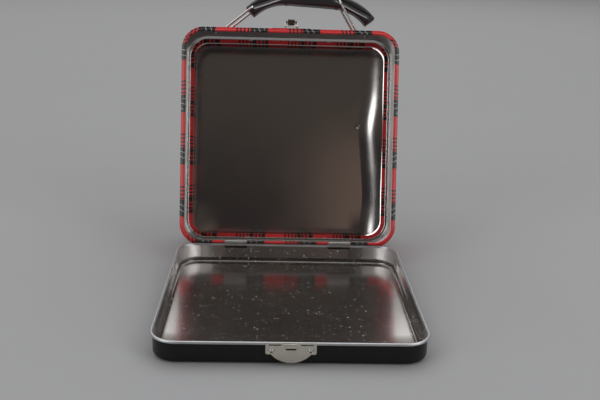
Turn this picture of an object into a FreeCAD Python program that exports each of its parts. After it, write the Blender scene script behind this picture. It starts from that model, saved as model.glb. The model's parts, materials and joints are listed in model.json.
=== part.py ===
"""A square tinplate lunch box, standing open: the lid lies flat and the case leans back behind it.

Millimetres and degrees. +X is the user's right, +Y points away from the user, +Z is up. The origin is
the middle of the lid's outer panel, on the surface that the box stands on. The case and all that it
carries are modelled as if the box were shut, lying on its lid, and are then swung open about the lid's
rear rim.
"""
import FreeCAD, Part
import math
import os
import re
import Sketcher

# Driving dimensions, kept in the document's sheet under these names
SIZES = {
    "case_width": 180.0,
    "case_height": 180.0,
    "corner_radius": 18.0,
    "sheet_gauge": 0.35,
    "fit_gap": 0.05,
    "running_clearance": 0.08,
    "lid_depth": 16.0,
    "back_depth": 16.0,
    "pan_edge_radius": 3.5,
    "bead_radius": 1.0,
    "rim_lap": 0.1,
    "band_width": 47.5,
    "shoulder_run": 0.8,
    "front_neck_length": 5.0,
    "front_curl_radius": 0.9,
    "rear_neck_length": 7.0,
    "rear_curl_radius": 1.5,
    "dimple_spacing": 69.0,
    "dimple_width": 3.6,
    "dimple_height": 1.4,
    "dimple_depth": 1.5,
    "dimple_setback": 2.0,
    "strap_spacing": 86.0,
    "strap_width": 18.0,
    "strap_gauge": 0.35,
    "strap_end_angle": 130.0,
    "strap_hook_return": 0.8,
    "hinge_slot_side_gap": 0.5,
    "hinge_slot_drop": 2.8,
    "plate_width": 32.0,
    "plate_depth": 13.6,
    "plate_gauge": 0.5,
    "plate_setback": 0.4,
    "ear_depth": 7.8,
    "ear_corner_radius": 1.3,
    "bow_width": 25.0,
    "latch_rivet_spacing": 24.5,
    "rivet_seat_radius": 2.4,
    "rivet_seat_gap": 0.3,
    "tongue_top_width": 9.0,
    "tongue_foot_width": 7.2,
    "tongue_top_inset": 0.5,
    "tongue_length": 3.2,
    "tongue_rise": 0.8,
    "tongue_edge_radius": 0.6,
    "keeper_slot_width": 6.4,
    "keeper_slot_height": 1.1,
    "vent_slot_start": 6.2,
    "vent_slot_end": 14.0,
    "vent_slot_height": 0.8,
    "vent_slot_inset": 0.9,
    "rivet_shank_radius": 1.1,
    "rivet_head_radius": 2.0,
    "rivet_head_height": 0.6,
    "rivet_head_bevel": 0.3,
    "rivet_dimple_radius": 0.9,
    "rivet_dimple_depth": 0.5,
    "flush_tail_height": 0.25,
    "inner_tail_height": 0.8,
    "hasp_width": 10.6,
    "hasp_length": 10.2,
    "hasp_gauge": 0.5,
    "hasp_heel_radius": 1.3,
    "hasp_heel_gap": 0.3,
    "hasp_web_start": 2.1,
    "hasp_lip_width": 5.6,
    "hasp_lip_depth": 0.8,
    "hasp_pivot_setback": 2.1,
    "hasp_open_angle": 140.0,
    "hasp_side_gap": 0.3,
    "hasp_pin_radius": 0.6,
    "hasp_pin_head_radius": 1.0,
    "hasp_pin_head_height": 0.4,
    "link_pivot_inset": 35.0,
    "link_length": 29.3,
    "link_span": 19.0,
    "link_corner_radius": 2.2,
    "wire_radius": 0.9,
    "left_link_angle": 39.2,
    "bracket_gauge": 0.6,
    "bracket_width": 12.0,
    "bracket_length": 14.0,
    "bracket_corner_radius": 3.0,
    "bracket_end_angle": 30.0,
    "bracket_rivet_reach": 9.0,
    "grip_bend_setback": 35.0,
    "grip_bend_radius": 41.0,
    "grip_bend_angle": 50.0,
    "grip_thickness": 10.0,
    "grip_depth": 15.5,
    "grip_edge_radius": 3.2,
    "grip_tilt": -3.3,
    "grip_nub_radius": 1.2,
    "grip_nub_spacing": 43.0,
    "slot_setback": 6.2,
    "slot_drop": 10.8,
    "slot_length": 30.8,
    "slot_slope": 23.4,
    "slot_clearance": 0.6,
}

doc = FreeCAD.newDocument("lunch_box")
sheet = doc.addObject("Spreadsheet::Sheet", "dims")
for row, (size_name, size) in enumerate(SIZES.items(), 1):
    sheet.set(f"A{row}", size_name)
    sheet.set(f"B{row}", str(size))
    sheet.setAlias(f"B{row}", size_name)
doc.recompute()


# Expressions over the sheet

def tied(expression):
    """The expression with each size's name pointed at its cell."""
    def cell(word):
        return f"dims.{word[0]}" if word[0] in SIZES else word[0]
    return re.sub(r"[a-z][a-z_]+", cell, expression)


def number(expression):
    """What an expression over the sizes comes to."""
    return float(sheet.evalExpression(tied(expression)))


# Sizes that follow from the fits between pieces, as expressions
HINGE_Y = "(case_height / 2 - bead_radius)"
HINGE_Z = "(lid_depth - bead_radius)"
WALL_INSET = "(2 * bead_radius - sheet_gauge - rim_lap)"
LOOP_INNER = "(bead_radius + running_clearance)"
LOOP_OUTER = f"({LOOP_INNER} + strap_gauge)"
NECK_INSET = f"(bead_radius + {LOOP_OUTER} + fit_gap)"
FRONT_SHOULDER = f"({HINGE_Z} + {LOOP_OUTER} + fit_gap)"
REAR_SHOULDER = f"({FRONT_SHOULDER} + band_width)"
FRONT_EDGE = f"({FRONT_SHOULDER} - front_neck_length)"
REAR_EDGE = f"({REAR_SHOULDER} + rear_neck_length)"
SHUT_DEPTH = f"({REAR_SHOULDER} + fit_gap + back_depth)"
BAND_MIDDLE = f"({FRONT_SHOULDER} + band_width / 2)"
RIVET_HOLE = "(rivet_shank_radius + fit_gap)"
LATCH_RIVET_INSET = "(2 * bead_radius + rivet_seat_radius + rivet_seat_gap)"
BASE_PLATE_FRONT = f"({FRONT_SHOULDER} + shoulder_run + plate_setback)"
HASP_PIVOT_Z = f"({BASE_PLATE_FRONT} + hasp_pivot_setback)"
HASP_PIVOT_RISE = "(fit_gap + plate_gauge + hasp_heel_gap + hasp_heel_radius)"
KEEPER_SLOT_TOP = "(lid_depth - tongue_top_inset - tongue_length)"
HASP_LIP_REACH = f"({HASP_PIVOT_Z} - {KEEPER_SLOT_TOP} + keeper_slot_height / 2)"
EYE_INNER = "(wire_radius + running_clearance)"
EYE_OUTER = f"({EYE_INNER} + bracket_gauge)"
LINK_PIVOT_X = "(case_width / 2 - link_pivot_inset)"
LINK_PIVOT_RISE = f"(fit_gap + {EYE_OUTER})"
SLOT_REACH = f"({LINK_PIVOT_X} - slot_setback)"
GRIP_FLAT = f"({LINK_PIVOT_X} - grip_bend_setback)"
BAR_DROP = "(slot_drop - slot_clearance / 3)"


# Sketches and features

def new_body(label):
    body = doc.addObject("PartDesign::Body", label)
    body.Label = label
    return body


def new_sketch(body, role, lift="0"):
    """An empty sketch on one of the body's origin planes, lifted along the plane's normal."""
    sketch = body.newObject("Sketcher::SketchObject", f"{body.Name}_sketch")
    plane = next(p for p in body.Origin.OriginFeatures if p.Role == role)
    sketch.AttachmentSupport = (plane, "")
    sketch.MapMode = "FlatFace"
    sketch.setExpression("AttachmentOffset.Base.z", tied(lift))
    return sketch


def place(sketch, geometry, point, across, up):
    """Holds one point of a sketch at two expressions, measured from the sketch's origin."""
    for kind, axis, expression in (("DistanceX", -2, across), ("DistanceY", -1, up)):
        if expression == "0":
            sketch.addConstraint(Sketcher.Constraint("PointOnObject", geometry, point, axis))
            continue
        held = sketch.addConstraint(Sketcher.Constraint(kind, -1, 1, geometry, point, number(expression)))
        sketch.setExpression(f"Constraints[{held}]", tied(expression))


def hold_radius(sketch, geometry, radius):
    held = sketch.addConstraint(Sketcher.Constraint("Radius", geometry, number(radius)))
    sketch.setExpression(f"Constraints[{held}]", tied(radius))


def arc_between(start, end, radius, turn):
    """The short arc from start to end; turn is +1 where it turns left and -1 where it turns right."""
    chord = end - start
    rise = math.sqrt(max(radius ** 2 - (chord.Length / 2) ** 2, 0))
    left = FreeCAD.Vector(-chord.y, chord.x, 0).normalize()
    centre = (start + end) / 2 + left * rise * turn
    first, last = (start, end) if turn > 0 else (end, start)
    begin = math.atan2(first.y - centre.y, first.x - centre.x)
    finish = math.atan2(last.y - centre.y, last.x - centre.x)
    if finish < begin:
        finish += 2 * math.pi
    circle = Part.Circle(centre, FreeCAD.Vector(0, 0, 1), radius)
    return Part.ArcOfCircle(circle, begin, finish)


def draw_outline(sketch, corners, arcs=None):
    """A closed outline through corners given as expressions. arcs maps a corner's index to the radius
    and turn of the arc that leaves it; the other stretches are straight."""
    arcs = arcs or {}
    points = [FreeCAD.Vector(number(across), number(up), 0) for across, up in corners]
    ends = []
    for index, start in enumerate(points):
        end = points[(index + 1) % len(points)]
        if index in arcs:
            radius, turn = arcs[index]
            ends.append((1, 2) if turn > 0 else (2, 1))
            sketch.addGeometry(arc_between(start, end, number(radius), turn))
        else:
            ends.append((1, 2))
            sketch.addGeometry(Part.LineSegment(start, end))
    for index, (first, last) in enumerate(ends):
        following = (index + 1) % len(ends)
        sketch.addConstraint(Sketcher.Constraint("Coincident", index, last, following, ends[following][0]))
    for index, (across, up) in enumerate(corners):
        place(sketch, index, ends[index][0], across, up)
    for index, (radius, turn) in arcs.items():
        hold_radius(sketch, index, radius)


def draw_circle(sketch, across, up, radius):
    centre = FreeCAD.Vector(number(across), number(up), 0)
    drawn = sketch.addGeometry(Part.Circle(centre, FreeCAD.Vector(0, 0, 1), number(radius)))
    place(sketch, drawn, 3, across, up)
    hold_radius(sketch, drawn, radius)


def draw_rounded_rectangle(sketch, half_width, half_height, radius, middle="0"):
    """A rectangle about (0, middle), which starts at the middle of its lower side."""
    near = f"{half_width} - {radius}"
    low, high = f"{middle} - {half_height}", f"{middle} + {half_height}"
    corners = [
        ("0", low),
        (near, low),
        (half_width, f"{low} + {radius}"),
        (half_width, f"{high} - {radius}"),
        (near, high),
        (f"-({near})", high),
        (f"-{half_width}", f"{high} - {radius}"),
        (f"-{half_width}", f"{low} + {radius}"),
        (f"-({near})", low),
    ]
    draw_outline(sketch, corners, {corner: (radius, 1) for corner in (1, 3, 5, 7)})


def draw_rectangle(sketch, left, right, low, high):
    draw_outline(sketch, [(left, low), (right, low), (right, high), (left, high)])


def extrude(body, kind, sketch, length, reverse=False, both_ways=False):
    """A Pad or Pocket. A pad follows the sketch's normal and a pocket goes against it, unless reversed."""
    before = body.Shape.Volume if body.Tip and body.Tip.isDerivedFrom("PartDesign::Feature") else 0
    feature = body.newObject(f"PartDesign::{kind}", f"{body.Name}_{kind.lower()}")
    feature.Profile = sketch
    feature.setExpression("Length", tied(length))
    feature.Reversed = reverse
    feature.SideType = "Symmetric" if both_ways else "One side"
    doc.recompute()
    gained = feature.Shape.Volume - before
    if (gained > 0) != (kind == "Pad") or abs(gained) < 1e-6:
        raise RuntimeError(f"{feature.Name} changed its body by {gained} cubic mm")
    return feature


def sweep(body, path, profile):
    pipe = body.newObject("PartDesign::AdditivePipe", f"{body.Name}_pipe")
    pipe.Profile = profile
    pipe.Spine = path
    doc.recompute()
    return pipe


def round_edges(body, radius, chosen):
    """Fillets the edges of the body's tip that the test picks."""
    tip = body.Tip
    names = [f"Edge{i}" for i, edge in enumerate(tip.Shape.Edges, 1) if chosen(edge)]
    fillet = body.newObject("PartDesign::Fillet", f"{body.Name}_fillet")
    fillet.Base = (tip, names)
    fillet.setExpression("Radius", tied(radius))
    doc.recompute()
    return fillet


def mirror(body, features, role):
    plane = next(p for p in body.Origin.OriginFeatures if p.Role == role)
    mirrored = body.newObject("PartDesign::Mirrored", f"{body.Name}_mirrored")
    mirrored.Originals = features
    mirrored.MirrorPlane = (plane, [""])
    body.Tip = mirrored
    doc.recompute()
    return mirrored


def lies_at(edge, axis, level):
    """Whether the whole edge lies in the plane where one coordinate has this level."""
    box = edge.BoundBox
    low, high = getattr(box, f"{axis}Min"), getattr(box, f"{axis}Max")
    return abs(low - level) < 1e-4 and abs(high - level) < 1e-4


# Lid and back: drawn pans with a rolled rim

def drawn_pan(label, depth):
    """A pan with its panel at z = 0 and its mouth up, before its rim is rolled."""
    pan = new_body(label)
    wall = new_sketch(pan, "XY_Plane")
    draw_rounded_rectangle(
        wall,
        f"(case_width / 2 - {WALL_INSET})",
        f"(case_height / 2 - {WALL_INSET})",
        f"(corner_radius - {WALL_INSET})",
    )
    extrude(pan, "Pad", wall, f"{depth} - bead_radius")
    round_edges(pan, "pan_edge_radius", lambda edge: lies_at(edge, "Z", 0))
    block = pan.Tip
    mouth = max(range(len(block.Shape.Faces)), key=lambda i: block.Shape.Faces[i].CenterOfMass.z)
    shell = pan.newObject("PartDesign::Thickness", f"{label}_shell")
    shell.Base = (block, [f"Face{mouth + 1}"])
    shell.setExpression("Value", tied("sheet_gauge"))
    shell.Reversed = True
    shell.Join = "Intersection"
    doc.recompute()
    return pan


def roll_rim(pan, depth):
    """Rolls the pan's mouth outwards into a round bead."""
    path = new_sketch(pan, "XY_Plane", f"{depth} - bead_radius")
    draw_rounded_rectangle(
        path,
        "(case_width / 2 - bead_radius)",
        "(case_height / 2 - bead_radius)",
        "(corner_radius - bead_radius)",
    )
    profile = new_sketch(pan, "YZ_Plane")
    draw_circle(profile, "-(case_height / 2 - bead_radius)", f"{depth} - bead_radius", "bead_radius")
    sweep(pan, path, profile)


def make_lid():
    lid = drawn_pan("lid_pan", "lid_depth")
    slots = new_sketch(lid, "XZ_Plane")
    reach = "strap_width / 2 + hinge_slot_side_gap"
    foot = f"{HINGE_Z} - hinge_slot_drop"
    draw_rectangle(slots, f"strap_spacing / 2 - ({reach})", f"strap_spacing / 2 + {reach}", foot, "lid_depth")
    slot = extrude(lid, "Pocket", slots, "case_height")
    mirror(lid, [slot], "YZ_Plane")
    holes = new_sketch(lid, "XZ_Plane")
    draw_circle(holes, "latch_rivet_spacing / 2", f"lid_depth - {LATCH_RIVET_INSET}", RIVET_HOLE)
    hole = extrude(lid, "Pocket", holes, "case_height", reverse=True)
    mirror(lid, [hole], "YZ_Plane")
    roll_rim(lid, "lid_depth")
    return lid


def make_back():
    back = drawn_pan("back_pan", "back_depth")
    rise = "(back_depth + fit_gap - dimple_setback)"
    inner = f"(case_height / 2 - {WALL_INSET} - sheet_gauge / 2 - dimple_depth)"
    centre = "dimple_spacing / 2"
    half = "(dimple_width / 2 - fit_gap)"
    tall = "(dimple_height / 2 - fit_gap)"
    box = (f"{centre} - {half}", f"{centre} + {half}", f"{rise} - {tall}", f"{rise} + {tall}")
    for height, turned in ((inner, False), (f"-{inner}", True)):
        press = new_sketch(back, "XZ_Plane", height)
        draw_rectangle(press, *box)
        dimple = extrude(back, "Pad", press, "dimple_depth", reverse=turned)
        mirror(back, [dimple], "YZ_Plane")
    roll_rim(back, "back_depth")
    return back


# Case band: one strip of sheet, stepped in and rolled at both edges

def make_band():
    band = new_body("case_band")
    path = new_sketch(band, "XY_Plane", BAND_MIDDLE)
    draw_rounded_rectangle(path, "(case_width / 2)", "(case_height / 2)", "corner_radius")

    skin = "(-case_height / 2)"
    steep = f"(shoulder_run / {NECK_INSET})"
    inner_step = f"(sheet_gauge * (sqrt(1 + {steep} * {steep}) - {steep}))"
    neck = f"{skin} + {NECK_INSET}"
    neck_inside = f"{neck} + sheet_gauge"
    wall_inside = f"{skin} + sheet_gauge"
    front_roll, rear_roll = "front_curl_radius", "rear_curl_radius"
    corners = [
        (neck, f"{FRONT_EDGE} + {front_roll}"),
        (f"{neck} + {front_roll}", FRONT_EDGE),
        (f"{neck} + 2 * {front_roll}", f"{FRONT_EDGE} + {front_roll}"),
        (f"{neck} + 2 * {front_roll}", f"{FRONT_EDGE} + 2 * {front_roll}"),
        (neck_inside, f"{FRONT_EDGE} + 2 * {front_roll}"),
        (neck_inside, f"{FRONT_SHOULDER} + {inner_step}"),
        (wall_inside, f"{FRONT_SHOULDER} + shoulder_run + {inner_step}"),
        (wall_inside, f"{REAR_SHOULDER} - shoulder_run - {inner_step}"),
        (neck_inside, f"{REAR_SHOULDER} - {inner_step}"),
        (neck_inside, f"{REAR_EDGE} - 2 * {rear_roll}"),
        (f"{neck} + 2 * {rear_roll}", f"{REAR_EDGE} - 2 * {rear_roll}"),
        (f"{neck} + 2 * {rear_roll}", f"{REAR_EDGE} - {rear_roll}"),
        (f"{neck} + {rear_roll}", REAR_EDGE),
        (neck, f"{REAR_EDGE} - {rear_roll}"),
        (neck, REAR_SHOULDER),
        (skin, f"{REAR_SHOULDER} - shoulder_run"),
        (skin, f"{FRONT_SHOULDER} + shoulder_run"),
        (neck, FRONT_SHOULDER),
    ]
    rolls = {0: (front_roll, 1), 1: (front_roll, 1), 11: (rear_roll, 1), 12: (rear_roll, 1)}
    profile = new_sketch(band, "YZ_Plane")
    draw_outline(profile, corners, rolls)
    sweep(band, path, profile)

    bracket_rivet = f"({LINK_PIVOT_X} + bracket_rivet_reach)"
    latch_rivet = "(latch_rivet_spacing / 2)"
    holes = new_sketch(band, "XZ_Plane")
    draw_circle(holes, bracket_rivet, BAND_MIDDLE, RIVET_HOLE)
    draw_circle(holes, latch_rivet, f"{BASE_PLATE_FRONT} + {LATCH_RIVET_INSET}", RIVET_HOLE)
    pierced = extrude(band, "Pocket", holes, "case_height", reverse=True)
    mirror(band, [pierced], "YZ_Plane")

    rise = f"({REAR_SHOULDER} + dimple_setback)"
    centre = "dimple_spacing / 2"
    slots = new_sketch(band, "XZ_Plane")
    draw_rectangle(
        slots,
        f"{centre} - dimple_width / 2",
        f"{centre} + dimple_width / 2",
        f"{rise} - dimple_height / 2",
        f"{rise} + dimple_height / 2",
    )
    slotted = extrude(band, "Pocket", slots, "2 * case_height", both_ways=True)
    mirror(band, [slotted], "YZ_Plane")
    return band


# Hinge straps: a strip looped round the lid's rim and hooked round the case's front roll

def make_strap(label):
    strap = new_body(label)
    centre_y = f"({HINGE_Y} - {LOOP_OUTER} - fit_gap - front_curl_radius)"
    centre_z = f"({FRONT_EDGE} + front_curl_radius)"
    hook_inner = "(front_curl_radius + fit_gap)"
    hook_outer = f"({hook_inner} + strap_gauge)"

    def round_rim(radius, angle):
        return f"{HINGE_Y} + {radius} * cos({angle})", f"{HINGE_Z} + {radius} * sin({angle})"

    def round_roll(radius, angle):
        return f"{centre_y} + {radius} * cos({angle})", f"{centre_z} + {radius} * sin({angle})"

    tip = "-strap_end_angle"
    corners = [round_rim(LOOP_INNER, angle) for angle in ("180", "90", "0", "-90", tip)]
    corners += [round_rim(LOOP_OUTER, angle) for angle in (tip, "-90", "0", "90", "180")]
    corners += [round_roll(hook_inner, angle) for angle in ("0", "-90", "180")]
    corners += [
        (f"{centre_y} - {hook_inner}", f"{centre_z} + strap_hook_return"),
        (f"{centre_y} - {hook_outer}", f"{centre_z} + strap_hook_return"),
    ]
    corners += [round_roll(hook_outer, angle) for angle in ("180", "-90", "0")]
    arcs = {index: (LOOP_INNER, -1) for index in (0, 1, 2, 3)}
    arcs.update({index: (LOOP_OUTER, 1) for index in (5, 6, 7, 8)})
    arcs.update({index: (hook_inner, -1) for index in (10, 11)})
    arcs.update({index: (hook_outer, 1) for index in (15, 16)})
    profile = new_sketch(strap, "YZ_Plane")
    draw_outline(profile, corners, arcs)
    extrude(strap, "Pad", profile, "strap_width", both_ways=True)
    return strap


# Latch: catch plate on the lid, base plate and hasp on the case

def draw_plate(sketch, straight_edge, away):
    """The outline of a latch plate: two square ears beside a bow. away is +1 where the bow lies above the
    straight edge and -1 where it lies below."""
    side = "+" if away > 0 else "-"
    back = "-" if away > 0 else "+"
    ear = f"{straight_edge} {side} ear_depth"
    round_off = f"{ear} {back} ear_corner_radius"
    bow_height = "(plate_depth - ear_depth)"
    bow_radius = f"((bow_width * bow_width / 4 + {bow_height} * {bow_height}) / (2 * {bow_height}))"
    corners = [
        ("-plate_width / 2", straight_edge),
        ("-plate_width / 2", round_off),
        ("-plate_width / 2 + ear_corner_radius", ear),
        ("-bow_width / 2", ear),
        ("bow_width / 2", ear),
        ("plate_width / 2 - ear_corner_radius", ear),
        ("plate_width / 2", round_off),
        ("plate_width / 2", straight_edge),
    ]
    turn = -away
    arcs = {1: ("ear_corner_radius", turn), 3: (bow_radius, turn), 5: ("ear_corner_radius", turn)}
    draw_outline(sketch, corners, arcs)


def make_catch_plate():
    plate = new_body("latch_catch_plate")
    face = "(case_height / 2 + fit_gap)"
    outline = new_sketch(plate, "XZ_Plane", face)
    draw_plate(outline, "lid_depth", -1)
    extrude(plate, "Pad", outline, "plate_gauge")

    tongue = new_sketch(plate, "XZ_Plane", face)
    top, foot = "lid_depth - tongue_top_inset", KEEPER_SLOT_TOP
    draw_outline(tongue, [
        ("-tongue_foot_width / 2", foot),
        ("tongue_foot_width / 2", foot),
        ("tongue_top_width / 2", top),
        ("-tongue_top_width / 2", top),
    ])
    extrude(plate, "Pad", tongue, "plate_gauge + tongue_rise")
    front = -number(f"{face} + plate_gauge + tongue_rise")
    round_edges(plate, "tongue_edge_radius", lambda edge: lies_at(edge, "Y", front))

    keeper = new_sketch(plate, "XZ_Plane", face)
    half = "keeper_slot_width / 2"
    draw_rectangle(keeper, f"-{half}", half, f"{KEEPER_SLOT_TOP} - keeper_slot_height", KEEPER_SLOT_TOP)
    extrude(plate, "Pocket", keeper, "plate_gauge", reverse=True)

    vents = new_sketch(plate, "XZ_Plane", face)
    vent_top = "lid_depth - vent_slot_inset"
    draw_rectangle(vents, "vent_slot_start", "vent_slot_end", f"{vent_top} - vent_slot_height", vent_top)
    vent = extrude(plate, "Pocket", vents, "plate_gauge", reverse=True)
    mirror(plate, [vent], "YZ_Plane")

    seats = new_sketch(plate, "XZ_Plane", f"case_height / 2 - {WALL_INSET} + fit_gap")
    draw_circle(seats, "latch_rivet_spacing / 2", f"lid_depth - {LATCH_RIVET_INSET}", "rivet_seat_radius")
    seat = extrude(plate, "Pad", seats, f"{WALL_INSET} + plate_gauge")
    mirror(plate, [seat], "YZ_Plane")
    recess_gap = "rivet_head_radius + fit_gap"
    wells = new_sketch(plate, "XZ_Plane", f"{face} + plate_gauge")
    draw_circle(wells, "latch_rivet_spacing / 2", f"lid_depth - {LATCH_RIVET_INSET}", recess_gap)
    well = extrude(plate, "Pocket", wells, f"{WALL_INSET}")
    mirror(plate, [well], "YZ_Plane")
    holes = new_sketch(plate, "XZ_Plane")
    draw_circle(holes, "latch_rivet_spacing / 2", f"lid_depth - {LATCH_RIVET_INSET}", RIVET_HOLE)
    hole = extrude(plate, "Pocket", holes, "case_height", reverse=True)
    mirror(plate, [hole], "YZ_Plane")
    return plate


def make_base_plate():
    plate = new_body("latch_base_plate")
    face = "(case_height / 2 + fit_gap)"
    outline = new_sketch(plate, "XZ_Plane", face)
    draw_plate(outline, BASE_PLATE_FRONT, 1)
    extrude(plate, "Pad", outline, "plate_gauge")
    holes = new_sketch(plate, "XZ_Plane")
    draw_circle(holes, "latch_rivet_spacing / 2", f"{BASE_PLATE_FRONT} + {LATCH_RIVET_INSET}", RIVET_HOLE)
    hole = extrude(plate, "Pocket", holes, "case_height", reverse=True)
    mirror(plate, [hole], "YZ_Plane")

    lug_radius = "hasp_heel_radius"
    pivot_y = f"-(case_height / 2 + {HASP_PIVOT_RISE})"
    root = f"-{face}"
    lug = new_sketch(plate, "YZ_Plane", "hasp_width / 2 - hasp_gauge - hasp_side_gap - plate_gauge")
    draw_outline(
        lug,
        [
            (root, f"{HASP_PIVOT_Z} - {lug_radius}"),
            (root, f"{HASP_PIVOT_Z} + {lug_radius}"),
            (pivot_y, f"{HASP_PIVOT_Z} + {lug_radius}"),
            (f"{pivot_y} - {lug_radius}", HASP_PIVOT_Z),
            (pivot_y, f"{HASP_PIVOT_Z} - {lug_radius}"),
        ],
        {2: (lug_radius, 1), 3: (lug_radius, 1)},
    )
    pin_hole = new_sketch(plate, "YZ_Plane")
    draw_circle(pin_hole, pivot_y, HASP_PIVOT_Z, "hasp_pin_radius + fit_gap")
    ear = extrude(plate, "Pad", lug, "plate_gauge")
    mirror(plate, [ear], "YZ_Plane")
    extrude(plate, "Pocket", pin_hole, "hasp_width", both_ways=True)
    return plate


def make_hasp():
    """The hasp about its pivot: +y is up from the wall and +z points forward when the hasp is shut."""
    hasp = new_body("latch_hasp")
    heel = "hasp_heel_radius"
    side = new_sketch(hasp, "YZ_Plane")
    draw_outline(
        side,
        [
            (f"-{heel}", "0"),
            ("0", f"-{heel}"),
            (heel, "0"),
            (heel, "hasp_length"),
            ("0", "hasp_length"),
            (f"-{heel}", f"hasp_length - {heel}"),
        ],
        {0: (heel, 1), 1: (heel, 1)},
    )
    extrude(hasp, "Pad", side, "hasp_width", both_ways=True)
    channel = new_sketch(hasp, "YZ_Plane")
    draw_rectangle(channel, f"-2 * {heel}", f"{heel} - hasp_gauge", f"-2 * {heel}", "2 * hasp_length")
    extrude(hasp, "Pocket", channel, "hasp_width - 2 * hasp_gauge", both_ways=True)
    notch = new_sketch(hasp, "YZ_Plane")
    draw_rectangle(notch, f"-2 * {heel}", f"2 * {heel}", f"-2 * {heel}", "hasp_web_start")
    extrude(hasp, "Pocket", notch, "hasp_width - 2 * hasp_gauge", both_ways=True)
    lip = new_sketch(hasp, "YZ_Plane")
    draw_rectangle(
        lip,
        f"-{HASP_PIVOT_RISE} + fit_gap + plate_gauge - hasp_lip_depth",
        f"{heel} - hasp_gauge / 2",
        f"{HASP_LIP_REACH} - hasp_gauge / 2",
        f"{HASP_LIP_REACH} + hasp_gauge / 2",
    )
    extrude(hasp, "Pad", lip, "hasp_lip_width", both_ways=True)
    bore = new_sketch(hasp, "YZ_Plane")
    draw_circle(bore, "0", "0", "hasp_pin_radius + running_clearance")
    extrude(hasp, "Pocket", bore, "2 * hasp_width", both_ways=True)
    return hasp


def revolved(label, corners):
    """A turned piece: half its outline on the XY plane, turned about the Y axis."""
    piece = new_body(label)
    profile = new_sketch(piece, "XY_Plane")
    draw_outline(profile, corners)
    turned = piece.newObject("PartDesign::Revolution", f"{label}_revolution")
    turned.Profile = profile
    turned.ReferenceAxis = (profile, ["V_Axis"])
    turned.Angle = 360
    doc.recompute()
    return piece


def make_hasp_pin():
    """The hasp's pin about its middle, along y."""
    reach = "(hasp_width / 2 + 2 * fit_gap)"
    head = f"({reach} + hasp_pin_head_height)"
    return revolved("hasp_pin", [
        ("0", f"-{head}"),
        ("hasp_pin_head_radius", f"-{head}"),
        ("hasp_pin_head_radius", f"-{reach}"),
        ("hasp_pin_radius", f"-{reach}"),
        ("hasp_pin_radius", reach),
        ("hasp_pin_head_radius", reach),
        ("hasp_pin_head_radius", head),
        ("0", head),
    ])


def make_rivet_pair(label, spacing, stack, tail_height):
    """Two hollow-headed rivets a spacing apart along x, with their heads towards +y. y = 0 is the inner
    face of the wall that they pass through, and stack is the thickness between tail and head."""
    foot = f"-({tail_height} + fit_gap)"
    seat = f"({stack} + fit_gap)"
    crown = f"{seat} + rivet_head_height"
    rivets = revolved(label, [
        ("0", foot),
        ("rivet_head_radius", foot),
        ("rivet_head_radius", "-fit_gap"),
        ("rivet_shank_radius", "-fit_gap"),
        ("rivet_shank_radius", seat),
        ("rivet_head_radius", seat),
        ("rivet_head_radius", f"{crown} - rivet_head_bevel"),
        ("rivet_head_radius - rivet_head_bevel", crown),
        ("rivet_dimple_radius", crown),
        ("0", f"{crown} - rivet_dimple_depth"),
    ])
    along = next(axis for axis in rivets.Origin.OriginFeatures if axis.Role == "X_Axis")
    pattern = rivets.newObject("PartDesign::LinearPattern", f"{label}_pattern")
    pattern.Originals = [rivets.Tip]
    pattern.Direction = (along, [""])
    pattern.setExpression("Length", tied(spacing))
    pattern.Occurrences = 2
    rivets.Tip = pattern
    doc.recompute()
    return rivets


# Handle: brackets, wire links and grip. Here x runs across the box, y stands up from the top wall and z comes
# forward, towards the case's opening.

def make_bracket(label):
    """A strip rolled into an eye about the origin, with its foot towards +x."""
    bracket = new_body(label)

    def round_bar(radius, angle):
        return f"{radius} * cos({angle})", f"{radius} * sin({angle})"

    tip = "-bracket_end_angle"
    corners = [("bracket_length", f"-{EYE_OUTER}"), ("bracket_length", f"-{EYE_INNER}")]
    corners += [("0", f"-{EYE_INNER}")]
    corners += [round_bar(EYE_INNER, angle) for angle in ("180", "90", "0", tip)]
    corners += [round_bar(EYE_OUTER, angle) for angle in (tip, "0", "90", "180")]
    corners += [("0", f"-{EYE_OUTER}")]
    arcs = {index: (EYE_INNER, -1) for index in (2, 3, 4, 5)}
    arcs.update({index: (EYE_OUTER, 1) for index in (7, 8, 9, 10)})
    profile = new_sketch(bracket, "XY_Plane")
    draw_outline(profile, corners, arcs)
    extrude(bracket, "Pad", profile, "bracket_width", both_ways=True)
    end = number("bracket_length")
    round_edges(
        bracket,
        "bracket_corner_radius",
        lambda edge: lies_at(edge, "X", end) and edge.BoundBox.ZLength < 1e-4,
    )
    hole = new_sketch(bracket, "XZ_Plane")
    draw_circle(hole, "bracket_rivet_reach", "0", RIVET_HOLE)
    extrude(bracket, "Pocket", hole, f"4 * {EYE_OUTER}", both_ways=True)
    return bracket


def make_link(label):
    """A wire stirrup: its lower bar lies along x at the origin, and its legs rise along z."""
    link = new_body(label)
    path = new_sketch(link, "XZ_Plane")
    draw_rounded_rectangle(
        path, "(link_span / 2)", "(link_length / 2)", "link_corner_radius", "(link_length / 2)"
    )
    profile = new_sketch(link, "YZ_Plane")
    draw_circle(profile, "0", "0", "wire_radius")
    sweep(link, path, profile)
    return link


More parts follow.
